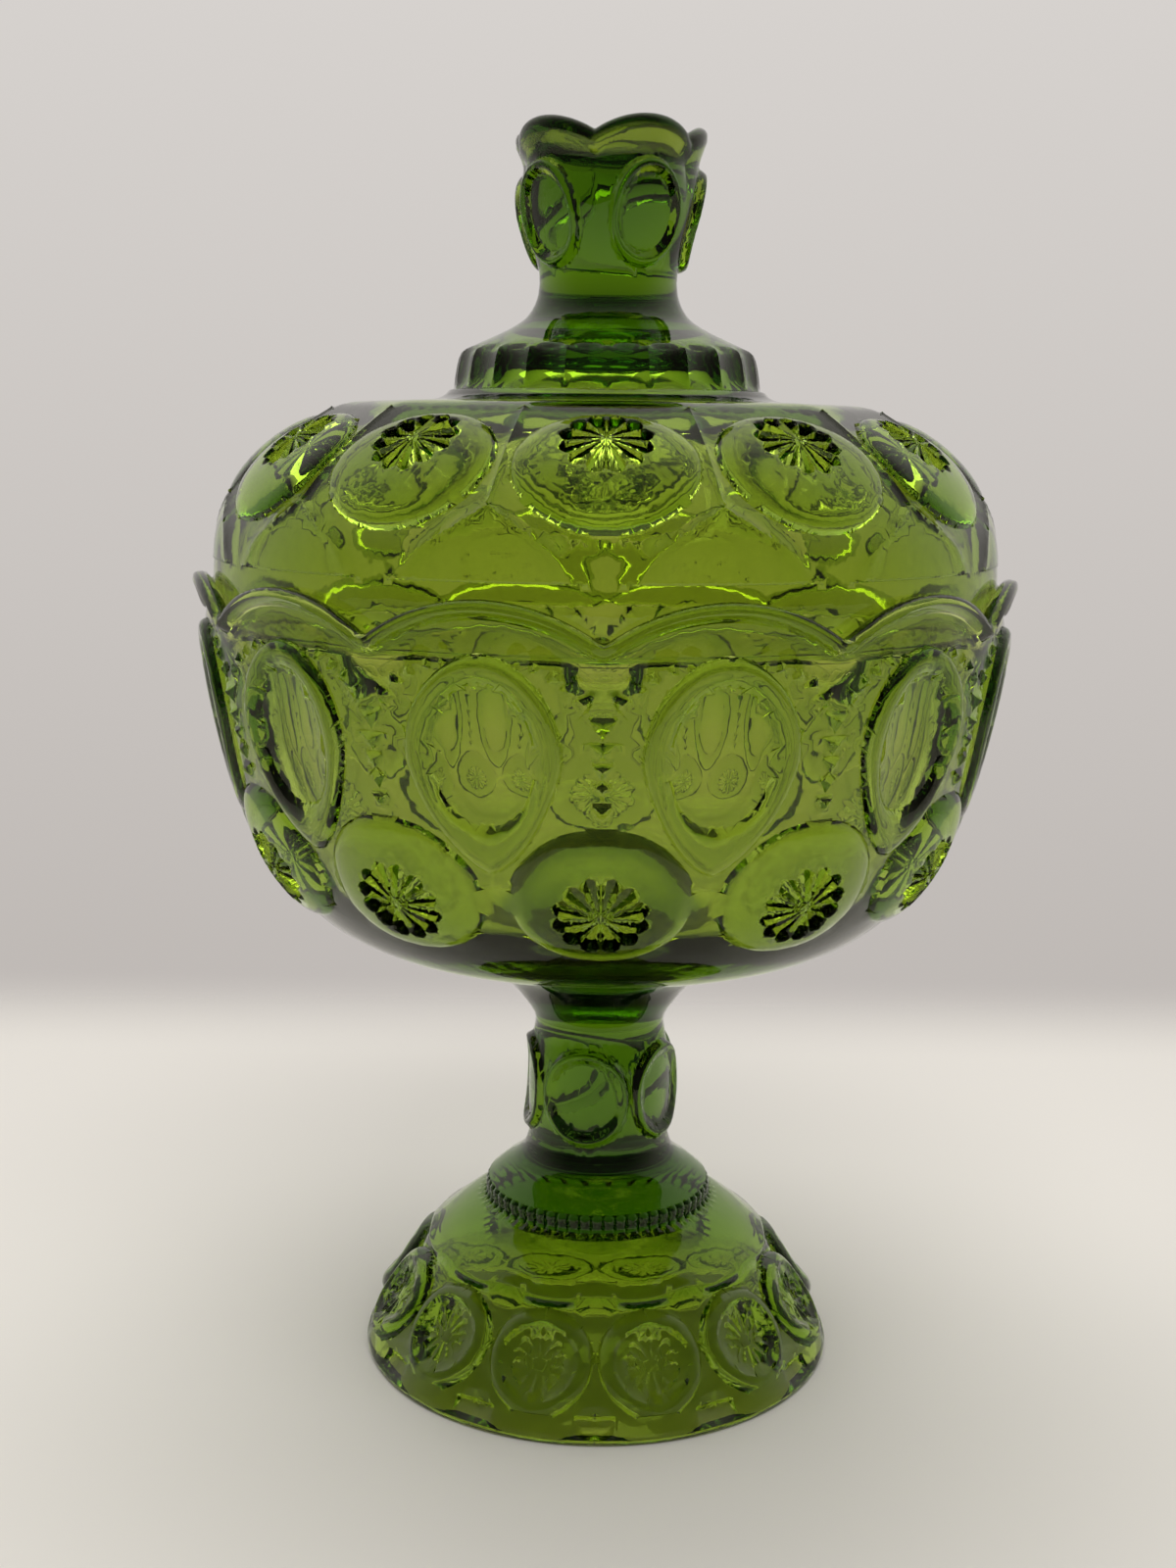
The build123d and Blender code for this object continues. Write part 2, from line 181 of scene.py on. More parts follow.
@dataclass
class Patch:
    """Piece of a turned skin: laid out flat as turn against run, refined, shaped, repeated round the axis."""

    ROW = 5.0  # longest row of the flat layout, in millimetres

    outline: Outline
    surface: Callable[[float, float], tuple[float, float, float]]
    densities: tuple[Density, ...]
    span: float = HALF  # degrees of turn that are laid out
    mirrored: bool = True  # whether the layout is mirrored and repeated to go all the way round
    fineness: Callable[[float, float], float] = lambda turn, run: 1.0  # below 1 where edges are finer
    passes: int = 6  # rounds of dividing
    cache: dict[tuple[float, float], Vector] = field(default_factory=dict)

    def build(self) -> bmesh.types.BMesh:
        """Makes the mesh of this patch all the way round the axis.

        Returns:
            A mesh in metres, open at its two ends.
        """
        rows = self._rows()
        columns = round(self.span * JOINT_COLUMNS / 360)
        bm = bmesh.new()
        bmesh.ops.create_grid(bm, x_segments=columns, y_segments=len(rows) - 1, size=0.5)
        for vert in bm.verts:
            turn = (vert.co.x + 0.5) * self.span
            vert.co = (turn, rows[round((vert.co.y + 0.5) * (len(rows) - 1))], 0.0)
        self._refine(bm)
        for vert in bm.verts:
            vert.co = self.place(vert.co.x, vert.co.y) * MM
        if self.mirrored:
            bmesh.ops.mirror(bm, geom=bm.verts[:] + bm.edges[:] + bm.faces[:], merge_dist=1e-6, axis="X")
            bmesh.ops.spin(
                bm, geom=bm.verts[:] + bm.edges[:] + bm.faces[:], axis=(0, 0, 1), cent=(0, 0, 0),
                angle=radians(360 - 2 * self.span), steps=round(180 / self.span) - 1, use_duplicate=True,
            )
        return bm

    def _rows(self) -> list[float]:
        """Places of the rows of the flat layout along the outline."""
        rows = [0.0]
        for index, density in enumerate(self.densities):
            count = max(1, round(self.outline.length(index) / min(self.ROW, density.coarse * 4)))
            rows.extend(index + (step + 1) / count for step in range(count))
        return rows

    def place(self, turn: float, run: float) -> Vector:
        """Shaped position of a flat position, in millimetres."""
        key = (round(turn, 5), round(run, 6))
        if key not in self.cache:
            radius, height, shift = self.surface(turn, run)
            angle = radians(turn + shift)
            self.cache[key] = Vector((radius * sin(angle), -radius * cos(angle), max(0.0, height)))
        return self.cache[key]

    def _refine(self, bm: bmesh.types.BMesh) -> None:
        """Divides edges until they follow the shaped surface.

        Args:
            bm: Flat layout, changed in place.
        """
        last = len(self.densities)
        for _ in range(self.passes):
            cut = []
            for edge in bm.edges:
                a, b = (vert.co for vert in edge.verts)
                if a.y == b.y and a.y in (0.0, last):
                    continue
                middle = (a + b) / 2
                density = self.densities[min(last - 1, int(middle.y))]
                start, end = self.place(a.x, a.y), self.place(b.x, b.y)
                length = (end - start).length
                if length > density.coarse:
                    cut.append(edge)
                    continue
                share = self.fineness(middle.x, middle.y)
                bulge = (self.place(middle.x, middle.y) - (start + end) / 2).length
                if length > density.fine * share and bulge > density.tolerance * share:
                    cut.append(edge)
            if not cut:
                break
            bmesh.ops.subdivide_edges(bm, edges=cut, cuts=1, use_grid_fill=True)
            bmesh.ops.triangulate(bm, faces=[face for face in bm.faces if len(face.verts) > 3])


@dataclass(frozen=True)
class Star:
    """Cut star: grooves that deepen outwards between thin ridges, and end in a steep wall."""

    radius: float
    depth: float  # at the outer end of a groove
    rays: int = 12
    inset: float = 0.13  # share of the radius by which the outline draws in at a ridge
    wall: float = 0.5  # half the width of the wall, in millimetres
    flank: float = 1.9  # steepness of a ridge's flanks

    def holds(self, x: float, y: float) -> bool:
        """Whether a place on the figure's plane lies on the star or its wall."""
        return hypot(x, y) < self.radius * 1.05

    def depth_at(self, x: float, y: float) -> float:
        """Depth of the cut at a place on the figure's plane, in millimetres."""
        reach = hypot(x, y)
        if reach > self.radius * 1.1:
            return 0.0
        phase = degrees(atan2(y, x)) * self.rays / 360
        ridge = abs((phase % 1.0) - 0.5) * 2
        edge = self.radius * (1.0 - self.inset * ridge)
        wall = smooth_step(edge + self.wall, edge - self.wall, reach)
        groove = min(1.0, self.flank * (1.0 - ridge)) * min(1.0, reach / self.radius)
        return self.depth * groove * wall


@dataclass(frozen=True)
class Button:
    """Domed oval disc with a star cut into it."""

    width: float
    height: float
    crown: float  # how far the dome stands out
    star: Star
    star_drop: float  # how far the star's middle lies below the disc's

    def height_at(self, x: float, y: float) -> float:
        """Height above the wall at a place on the figure's plane, in millimetres."""
        reach = (2 * x / self.width) ** 2 + (2 * y / self.height) ** 2
        if reach >= 1.0:
            return 0.0
        dome = self.crown * sqrt(1.0 - reach)
        return dome - self.star.depth_at(x, y + self.star_drop)


@dataclass(frozen=True)
class Dish:
    """Round boss with a rolled ring, a dished middle and a star at the bottom of the dish."""

    radius: float
    ring: float  # width of the rolled ring
    proud: float  # how far the ring stands out
    dish: float  # depth of the dish
    star: Star
    step: float = 0.5  # drop from the ring to the dish
    step_width: float = 0.8

    def height_at(self, x: float, y: float) -> float:
        """Height above the wall at a place on the figure's plane, in millimetres."""
        reach = hypot(x, y)
        if reach >= self.radius:
            return 0.0
        if reach > self.radius - self.ring:
            share = (self.radius - reach) / self.ring
            return self.proud * sqrt(max(0.0, 1.0 - (1.0 - share) ** 2))
        inner = self.radius - self.ring
        floor = self.proud - self.dish * (1.0 - (reach / inner) ** 2)
        floor -= self.step * smooth_step(inner, inner - self.step_width, reach)
        return floor - self.star.depth_at(x, y)


@dataclass(frozen=True)
class Moon:
    """Egg-shaped frame with a rolled border round a dished oval."""

    half_width: float
    rise: float  # how far the frame reaches up
    drop: float  # how far it reaches down
    lens_half_width: float  # of the dished oval, and so on
    lens_rise: float
    lens_drop: float
    proud: float  # how far the border stands out
    dish: float  # depth of the oval
    point: float = 1.3  # exponent of the frame's lower half; 2 is round and nearer 1 is pointed
    rim: float = 0.6  # height of the small bead round the dished oval
    rim_place: float = 0.7  # how far outside the oval the bead lies
    rim_width: float = 0.6
    sag: float = 0.25  # share by which the border is lower at its inner edge

    @staticmethod
    def _distance(x: float, y: float, wide: float, rise: float, drop: float, point: float) -> float:
        """Distance outside an egg-shaped line, negative inside it.

        Args:
            x: Sideways place from the egg's middle.
            y: Upward place from it.
            wide: Half the egg's width.
            rise: How far it reaches up.
            drop: How far it reaches down.
            point: Exponent of the lower half.

        Returns:
            The distance in millimetres.
        """
        x, high = abs(x), y >= 0
        p, q, tall = (2.0, 2.0, rise) if high else (min(2.0, point + 0.25), point, drop)
        a, b = x / wide, abs(y) / tall
        value = a**p + b**q - 1.0
        # The small limits keep the slope from vanishing near the egg's axes.
        slope = hypot(p * max(a, 0.02) ** (p - 1) / wide, q * max(b, 0.02) ** (q - 1) / tall)
        return max(-0.9 * wide, value / max(slope, 0.03))

    def height_at(self, x: float, y: float) -> float:
        """Height above the wall at a place on the figure's plane, in millimetres."""
        outer = self._distance(x, y, self.half_width, self.rise, self.drop, self.point)
        if outer > 0:
            return 0.0
        inner = self._distance(x, y, self.lens_half_width, self.lens_rise, self.lens_drop, 2.0)
        if inner > 0:
            share = -outer / (inner - outer)
            roll = self.proud * sqrt(max(0.0, 1.0 - (2.0 * share - 1.0) ** 2)) * (1.0 - self.sag * share)
            bead = self.rim * exp(-(((inner - self.rim_place) / self.rim_width) ** 2))
            return max(roll, bead)
        tall = self.lens_rise if y >= 0 else self.lens_drop
        reach = (x / self.lens_half_width) ** 2 + (y / tall) ** 2
        return -self.dish * (1.0 - reach)


@dataclass(frozen=True)
class Stud:
    """Small three-sided pyramid that points down."""

    x: float
    y: float
    width: float
    height: float
    lean: float = 0.0  # degrees that it is turned
    slope: float = 1.1  # rise of a face over its run

    def height_at(self, x: float, y: float) -> float:
        """Height above the wall at a place on the figure's plane, in millimetres."""
        dx, dy = x - self.x, y - self.y
        if abs(dx) > self.width or abs(dy) > self.width:
            return 0.0
        if self.lean:
            c, s = cos(radians(self.lean)), sin(radians(self.lean))
            dx, dy = c * dx + s * dy, c * dy - s * dx
        side = hypot(self.height, self.width / 2)
        top = self.height / 3 - dy
        flank = (self.width / 2 * (dy + 2 * self.height / 3) - self.height * abs(dx)) / side
        return max(0.0, self.slope * min(top, flank))


@dataclass(frozen=True)
class Oval:
    """Oval with a rolled border round a shallow dish."""

    half_width: float
    half_height: float
    border: float  # width of the rolled border
    proud: float  # how far the border stands out
    dish: float  # depth of the dish

    def height_at(self, x: float, y: float) -> float:
        """Height above the wall at a place on the figure's plane, in millimetres."""
        reach = hypot(x / self.half_width, y / self.half_height)
        if reach >= 1.0:
            return 0.0
        mean = hypot(self.half_height, self.half_width) / sqrt(2)
        edge = self.half_width * self.half_height / max(1.0, mean)
        deep = (1.0 - reach) * edge
        if deep < self.border:
            return self.proud * sin(pi * deep / self.border)
        inner = 1.0 - self.border / edge
        return -self.dish * (1.0 - (reach / inner) ** 2)


@dataclass
class Bowl:
    """Bowl from the neck under it to the middle of its floor."""

    neck: Point = (16.3, 86.4)
    rim_top: float = 200.4
    rim_dip: float = 8.6  # depth of the dips between two arches of the rim
    rim_radius: float = 97.4
    bore: float = 94.4  # radius inside the rim, above the ledge
    ledge: float = 187.5
    ledge_width: float = 4.6
    lip: float = 6.4  # height of the rolled lip
    arch_foot: float = 178.0  # height where the wall starts to follow the arches
    dip_round: float = 0.9  # rounds the point of a dip, in square millimetres
    dip_shift: float = 0.2  # the part of that rounding which is taken back, in millimetres
    gap: Point = (3.0, 5.2)  # degrees from a dip between which the ledge begins
    gap_heights: Hump = (-15.0, -8.0, 0.5, 2.5)  # from the ledge
    slope: Point = (1.0, 11.0)  # where the slope in the gap starts and ends, below the ledge
    disc: Button = Button(38.6, 34.6, 3.6, Star(9.8, 3.2, 12), 2.2)
    disc_height: float = 137.2
    moon: Moon = Moon(16.8, 21.4, 26.5, 11.0, 15.4, 15.4, 2.3, 1.7)
    moon_height: float = 168.0
    studs: tuple[Stud, ...] = (
        Stud(0.0, 12.4, 7.2, 4.6), Stud(0.0, 7.4, 6.0, 4.2), Stud(0.0, 3.1, 5.2, 3.9),
        Stud(0.0, -1.0, 4.8, 3.7), Stud(0.0, -5.4, 6.0, 4.4), Stud(3.4, 16.8, 4.4, 3.6, -18.0),
        Stud(6.4, 19.8, 4.2, 3.4, -36.0), Stud(9.8, 21.9, 3.6, 3.0, -52.0), Stud(13.6, 23.6, 3.0, 2.6, -66.0),
        Stud(17.6, 24.6, 2.2, 2.0, -78.0),
    )
    studs_height: float = 163.4
    column: tuple[float, float, float] = (3.4, 4.0, 12.0)  # of studs: half width, middle, half height

    def __post_init__(self) -> None:
        """Draws the outline and finds the figures' places on it."""
        top, bore, ledge = self.rim_top, self.bore, self.ledge
        inner = bore - self.ledge_width
        self.outline = Outline(
            (
                self.neck, (17.2, 88.8), (19.2, 91.6), (22.0, 95.2), (26.6, 99.6), (33.0, 103.4),
                (45.0, 107.4), (56.0, 109.9), (64.0, 113.0), (71.0, 117.6), (77.0, 123.9), (81.4, 131.0),
                (85.6, 140.0), (89.4, 150.0), (92.4, 160.0), (94.6, 170.0), (95.8, 180.0),
                (96.2, top - self.lip),
            ),
            (
                (96.2, top - self.lip), (96.5, top - 4.2), (97.9, top - 3.2), (99.1, top - 2.0),
                (98.8, top - 0.6), (97.4, top), (95.8, top - 0.3), (94.8, top - 1.4), (bore, top - 3.2),
            ),
            ((bore, top - 3.2), (bore, ledge + 1.6)),
            ((bore, ledge + 1.6), (bore, ledge + 0.6), (bore - 0.5, ledge), (inner + 0.5, ledge - 0.1)),
            (
                (inner + 0.5, ledge - 0.1), (inner + 0.1, ledge - 0.5), (inner, ledge - 2.0),
                (inner - 0.4, 176.0), (89.0, 166.0), (86.6, 154.0), (82.8, 142.0), (76.8, 131.0),
                (69.0, 123.2), (58.0, 117.2), (42.0, 112.6), (22.0, 109.8), (0.0, 109.0),
            ),
        )
        self.disc_run = self.outline.find(0, self.disc_height)
        self.moon_run = self.outline.find(0, self.moon_height)
        self.studs_run = self.outline.find(0, self.studs_height)

    def rim_drop(self, turn: float) -> float:
        """How far the rim lies below its highest point at a turn, in millimetres."""
        half = self.rim_radius * sin(radians(HALF))
        arch = (half**2 + self.rim_dip**2) / (2 * self.rim_dip)
        place = max(self.rim_radius * sin(radians(turn)), 0.0)
        place = sqrt(place**2 + self.dip_round) - self.dip_shift
        return arch - sqrt(arch**2 - (half - min(place, half)) ** 2)

    def open_ledge(self, radius: float, height: float, turn: float) -> float:
        """Turns the ledge into a long slope between two arches, where it ends in a hook.

        Args:
            radius: Radius of the place on the inner wall.
            height: Its height.
            turn: Its angle from the front.

        Returns:
            The changed radius.
        """
        above = height - self.ledge
        share = smooth_step(self.gap[1], self.gap[0], turn) * rise_and_fall(self.gap_heights, above)
        slope = self.bore - self.ledge_width * smooth_step(-self.slope[0], -self.slope[1], above)
        return radius + (max(radius, slope) - radius) * share

    def surface(self, turn: float, run: float) -> tuple[float, float, float]:
        """Radius, height and extra turn of a flat position."""
        (radius, height), (out, up) = self.outline.read(run)
        drop = self.rim_drop(turn)
        if run <= 1.0:
            height -= drop * smooth_step(self.arch_foot, self.rim_top - self.lip, height)
        elif run <= 2.0:
            height -= drop
        elif run < 3.0:
            height -= drop * (3.0 - run)
        if 2.0 < run < 5.0:
            radius = self.open_ledge(radius, height, turn)
        if run >= 1.0:
            return radius, height, 0.0
        along = self.outline.length(0)
        x = radius * radians(turn)
        figure = self.disc.height_at(x, (run - self.disc_run) * along)
        if figure == 0.0:
            figure = self.moon.height_at(radius * radians(HALF) - x, (run - self.moon_run) * along)
        if figure == 0.0:
            y = height - self.studs_height
            figure = max(stud.height_at(x, y) for stud in self.studs)
        return radius + figure * out, height + figure * up, 0.0

    def fineness(self, turn: float, run: float) -> float:
        """Share of the usual edge length that the stars and the studs need."""
        if run >= 1.0:
            return 1.0
        (radius, height), _ = self.outline.read(run)
        x, y = radius * radians(turn), (run - self.disc_run) * self.outline.length(0)
        if self.disc.star.holds(x, y + self.disc.star_drop):
            return 0.8
        wide, middle, tall = self.column
        return 0.6 if x < wide and abs(height - self.studs_height - middle) < tall else 1.0

    def build(self) -> bmesh.types.BMesh:
        """Makes the bowl's part of the base skin."""
        densities = (
            Density(4.6, 0.95, 0.15), Density(3.0, 1.5, 0.12), Density(6, 3, 0.1), Density(5, 1.4, 0.1),
            Density(9, 4, 0.15),
        )
        return Patch(self.outline, self.surface, densities, fineness=self.fineness).build()


@dataclass
class Foot:
    """Hollow foot, beaded ring and skirt, up to the stem's waist."""

    waist: Point = (18.9, 52.1)
    radius: float = 60.0
    notch: float = 2.3  # how far the edge draws in between two discs
    notch_heights: Hump = (1.4, 3.0, 4.0, 12.0)
    bow_depth: float = 1.9  # of the bow-shaped notch in the edge between two discs
    bow_height: float = 4.4
    bow_half_width: float = 5.4
    bow_end: float = 0.6  # over which its ends grow shallow
    bow_rise: Point = (1.4, 0.14)  # half its height in the middle, and what each millimetre sideways adds
    disc: Dish = Dish(12.8, 3.4, 2.4, 1.5, Star(6.7, 0.8, 12))
    disc_height: float = 15.6
    ridge_height: float = 28.8
    ridge: float = 0.55  # how far the wavy ridge above the discs stands out
    ridge_width: float = 0.9
    ridge_wave: float = 0.7  # how far it swings up and down
    nick_height: float = 26.2
    nick_size: Point = (8.0, 2.0)  # half its width and height
    nick_depth: float = 0.9  # of the small hollow under the ridge between two discs
    beads: int = 60  # round the ring
    bead_depth: float = 1.0

    def __post_init__(self) -> None:
        """Draws the outline and finds the discs' place on it."""
        wide = self.radius
        self.outline = Outline(
            (
                (0.0, 31.6), (14.0, 31.0), (26.0, 28.6), (37.5, 22.6), (46.6, 11.8), (53.2, 3.6), (54.8, 1.0),
                (55.8, 0.0),
            ),
            (
                (55.8, 0.0), (wide - 1.6, 0.0), (wide - 0.3, 0.8), (wide, 2.2), (wide - 0.8, 4.0),
                (wide - 2.2, 6.2),
            ),
            (
                (wide - 2.2, 6.2), (54.6, 11.0), (51.2, 15.6), (47.9, 20.4), (44.9, 25.2), (43.9, 27.4),
                (43.2, 28.8), (41.9, 30.2), (39.7, 32.2), (35.8, 35.4), (31.6, 38.2), (29.2, 39.4),
            ),
            ((29.2, 39.4), (28.8, 39.9), (28.9, 41.4), (28.8, 42.9), (28.2, 43.8)),
            ((28.2, 43.8), (24.8, 46.7), (21.0, 49.6), self.waist),
        )
        self.disc_run = self.outline.find(2, self.disc_height)

    def surface(self, turn: float, run: float) -> tuple[float, float, float]:
        """Radius, height and extra turn of a flat position."""
        (radius, height), (out, up) = self.outline.read(run)
        if run <= 0.8:  # the hollow, but for its edge
            return radius, height, 0.0
        lobe = ((HALF - turn) / HALF) ** 2
        if run < 2.3:  # the foot's edge and the start of its slope
            radius -= self.notch * lobe * rise_and_fall(self.notch_heights, height)
            x = radius * radians(turn)
            tall = self.bow_rise[0] + self.bow_rise[1] * x
            bow = smooth_step(self.bow_half_width, self.bow_half_width - self.bow_end, x)
            radius -= self.bow_depth * bow * max(0.0, 1.0 - abs(height - self.bow_height) / tall)
        figure = 0.0
        if 2.0 <= run < 3.0:
            x = radius * radians(HALF - turn)
            figure = self.disc.height_at(x, (run - self.disc_run) * self.outline.length(2))
            ridge = self.ridge_height + self.ridge_wave * cos(radians(360 / SECTOR * turn))
            figure += self.ridge * exp(-(((height - ridge) / self.ridge_width) ** 2))
            wide, tall = self.nick_size
            nick = max(0.0, 1.0 - (x / wide) ** 2 - ((height - self.nick_height) / tall) ** 2)
            figure -= self.nick_depth * nick
        elif 3.0 <= run < 4.0:
            share = abs((turn * self.beads / 360) % 1.0 - 0.5) * 2
            figure = -self.bead_depth * (1.0 - sqrt(max(0.0, 1.0 - (1.0 - share) ** 2)))
        return radius + figure * out, height + figure * up, 0.0

    def fineness(self, turn: float, run: float) -> float:
        """Share of the usual edge length that the stars in the dishes need."""
        if not 2.0 <= run < 3.0:
            return 1.0
        (radius, _), _ = self.outline.read(run)
        x = radius * radians(HALF - turn)
        return 0.7 if self.disc.star.holds(x, (run - self.disc_run) * self.outline.length(2)) else 1.0

    def build(self) -> bmesh.types.BMesh:
        """Makes the foot's part of the base skin."""
        densities = (
            Density(9, 5, 0.15), Density(3.0, 1.1, 0.12), Density(4.0, 0.9, 0.12), Density(2.2, 0.7, 0.09),
            Density(3.4, 1.8, 0.08),
        )
        return Patch(self.outline, self.surface, densities, fineness=self.fineness).build()


@dataclass
class Stem:
    """Waisted barrel with a ring of bordered ovals."""

    low: Point
    high: Point
    count: int = 5  # ovals round the stem
    first: float = -11.0  # turn of one of them
    oval: Oval = Oval(11.7, 12.8, 3.6, 1.6, 0.7)
    oval_height: float = 70.0

    def __post_init__(self) -> None:
        """Draws the outline and finds the ovals' place on it."""
        self.outline = Outline(
            (
                self.low, (18.1, 54.7), (17.7, 57.4), (17.9, 60.1), (18.2, 62.7), (18.6, 68.0), (18.4, 73.3),
                (17.7, 78.6), (17.0, 81.2), (16.6, 83.8), self.high,
            ),
        )
        self.oval_run = self.outline.find(0, self.oval_height)

    def surface(self, turn: float, run: float) -> tuple[float, float, float]:
        """Radius, height and extra turn of a flat position."""
        (radius, height), (out, up) = self.outline.read(run)
        pitch = 360 / self.count
        x = radius * radians((turn - self.first + pitch / 2) % pitch - pitch / 2)
        figure = self.oval.height_at(x, (run - self.oval_run) * self.outline.length(0))
        return radius + figure * out, height + figure * up, 0.0

    def build(self) -> bmesh.types.BMesh:
        """Makes the stem's part of the base skin."""
        densities = (Density(3.4, 1.0, 0.1),)
        return Patch(self.outline, self.surface, densities, span=360.0, mirrored=False).build()


@dataclass
class Lid:
    """Lid from the middle of its inner well to the top of the fluted collar."""

    radius: float = 94.0
    bottom: float = 188.1  # height of the edge's knots, just above the bowl's ledge
    button: Button = Button(38.0, 33.6, 4.2, Star(9.3, 3.0, 12), -4.6)
    button_height: float = 225.6
    flute_depth: float = 0.9  # of the flutes round the collar, two to a disc
    flute_ends: Hump = (4.0, 4.12, 4.82, 4.98)  # places on the outline
    line: float = 0.3  # height of the fine ridge along every edge of a panel
    line_widths: tuple[float, float, float] = (0.16, 0.45, 0.5)  # below a panel, between two, above one
    band_top: float = 203.4  # height where the round band gives way to panels
    band_radius: float = 94.2
    band_heights: Point = (203.0, 14.0)  # where the band starts to dome, and how far above that it steepens
    band_curve: Point = (0.0165, 0.0006)  # how fast it domes at first, and what is added above
    shoulder: Point = (46.0, 63.6)  # radii between which the top turns from round to twelve-sided
    joint: Point = (32.6, 252.9)

    def __post_init__(self) -> None:
        """Draws the outline and finds the discs' place on it."""
        low = self.bottom
        self.outline = Outline(
            (
                (0.0, 249.2), (14.0, 248.8), (22.0, 247.0), (26.4, 242.0), (29.0, 238.2), (36.0, 236.4),
                (50.0, 235.2), (62.0, 233.2), (72.0, 228.8), (80.6, 221.4), (86.4, 212.6), (89.0, 203.0),
                (89.6, low + 1.0),
            ),
            ((89.6, low + 1.0), (90.4, low), (self.radius - 0.8, low), (self.radius, low + 1.0)),
            (
                (self.radius, low + 1.0), (self.radius, self.band_top), (93.6, 206.6), (92.8, 209.8),
                (90.6, 214.0), (86.6, 219.2), (80.8, 225.2), (74.0, 231.0), (67.4, 235.8), (63.6, 238.2),
            ),
            (
                (63.6, 238.2), (62.4, 238.7), (50.0, 240.0), (40.0, 241.0), (38.8, 241.6), (38.0, 242.6),
                (37.0, 242.8),
            ),
            ((37.0, 242.8), (36.4, 247.0), (35.6, 250.4), (35.0, 251.6), self.joint),
        )
        self.button_run = self.outline.find(2, self.button_height)

    def dome(self, height: float) -> float:
        """Radius of the round band below the panels at a height, in millimetres."""
        start, steeper = self.band_heights
        rise = max(0.0, height - start)
        slow, fast = self.band_curve
        return self.band_radius - slow * rise**2 - fast * max(0.0, rise - steeper) ** 3

    def surface(self, turn: float, run: float) -> tuple[float, float, float]:
        """Radius, height and extra turn of a flat position."""
        (radius, height), (out, up) = self.outline.read(run)
        figure = 0.0
        below, between, over = self.line_widths
        if 2.0 <= run < 3.0:
            x = radius * radians(turn)
            figure = self.button.height_at(x, (run - self.button_run) * self.outline.length(2))
            panel = radius / cos(radians(turn))
            if height > self.band_top:
                band = self.dome(height)
                figure += self.line * exp(-(((panel - band) / below) ** 2))
                if panel < band:
                    figure += self.line * exp(-((radius * radians(HALF - turn) / between) ** 2))
                radius = min(panel, max(band, radius))
            figure += self.line * exp(-(((3.0 - run) * self.outline.length(2) / over) ** 2))
        elif 3.0 <= run < 4.0:
            corner = smooth_step(*self.shoulder, radius)
            radius *= 1.0 + corner * (1.0 / cos(radians(turn)) - 1.0)
        elif 4.0 <= run:
            share = (turn / HALF) % 1.0
            hollow = 4.0 * share * (1.0 - share)
            figure = -self.flute_depth * hollow * rise_and_fall(self.flute_ends, run)
        return radius + figure * out, height + figure * up, 0.0

    def fineness(self, turn: float, run: float) -> float:
        """Share of the usual edge length that the stars need."""
        if not 2.0 <= run < 3.0:
            return 1.0
        (radius, _), _ = self.outline.read(run)
        x, y = radius * radians(turn), (run - self.button_run) * self.outline.length(2)
        return 0.65 if self.button.star.holds(x, y + self.button.star_drop) else 1.0

    def build(self) -> bmesh.types.BMesh:
        """Makes the lid's part of the lid skin."""
        densities = (
            Density(8, 3, 0.1), Density(3, 1.5, 0.06), Density(3.4, 0.7, 0.08), Density(4, 1.2, 0.06),
            Density(2.4, 0.8, 0.07),
        )
        return Patch(self.outline, self.surface, densities, fineness=self.fineness).build()


@dataclass
class Finial:
    """Cone, neck and crown with ovals and a cupped top."""

    joint: Point
    count: int = 5  # ovals and lobes round the finial
    first: float = 26.0  # turn of one of them
    oval: Oval = Oval(9.2, 12.6, 3.2, 1.9, 0.4)
    oval_height: float = 282.4
    crown_top: float = 303.9
    crown_dip: float = 3.6  # depth of the dips between two lobes of the crown
    dip_heights: Point = (292.0, 301.0)  # between which the dips grow in
    crown_waist: float = 0.075  # share by which the crown draws in between two lobes
    waist_heights: Point = (276.0, 298.0)  # between which it draws in

    def __post_init__(self) -> None:
        """Draws the outline and finds the ovals' place on it."""
        top = self.crown_top
        self.outline = Outline(
            (
                self.joint, (27.5, 255.2), (22.6, 257.6), (19.4, 259.9), (17.8, 262.2), (16.8, 264.8),
                (16.4, 267.6), (16.5, 270.4),
            ),
            ((16.5, 270.4), (17.5, 274.0), (19.1, 279.0), (20.6, 284.0), (21.3, 289.0), (21.1, 294.6)),
            (
                (21.1, 294.6), (21.4, top - 8.0), (22.4, top - 5.0), (23.1, top - 2.8), (22.8, top - 0.9),
                (21.5, top), (19.4, top - 0.5), (17.6, top - 2.4),
            ),
            ((17.6, top - 2.4), (15.2, 298.4), (11.4, 294.4), (6.2, 292.2), (0.0, 291.6)),
        )
        self.oval_run = self.outline.find(1, self.oval_height)

    def surface(self, turn: float, run: float) -> tuple[float, float, float]:
        """Radius, height and extra turn of a flat position."""
        (radius, height), (out, up) = self.outline.read(run)
        pitch = 360 / self.count
        away = (turn - self.first + pitch / 2) % pitch - pitch / 2
        lobe = 1.0 - (2 * abs(away) / pitch) ** 2
        rise = smooth_step(*self.dip_heights, height)
        height -= self.crown_dip * (1.0 - lobe) * rise
        radius *= 1.0 - self.crown_waist * (1.0 - lobe) * smooth_step(*self.waist_heights, height)
        figure = 0.0
        if run < 2.4:  # the ovals' tops reach into the crown
            along = (run - self.oval_run) * self.outline.length(1)
            if run > 2.0:
                along = (2.0 - self.oval_run) * self.outline.length(1) + (run - 2.0) * self.outline.length(2)
            figure = self.oval.height_at(radius * radians(away), along)
        return radius + figure * out, height + figure * up, 0.0

    def build(self) -> bmesh.types.BMesh:
        """Makes the finial's part of the lid skin."""
        densities = (
            Density(3, 1.2, 0.06), Density(1.8, 0.7, 0.06), Density(1.8, 0.8, 0.06), Density(3, 1.2, 0.07),
        )
        return Patch(self.outline, self.surface, densities, span=360.0, mirrored=False).build()


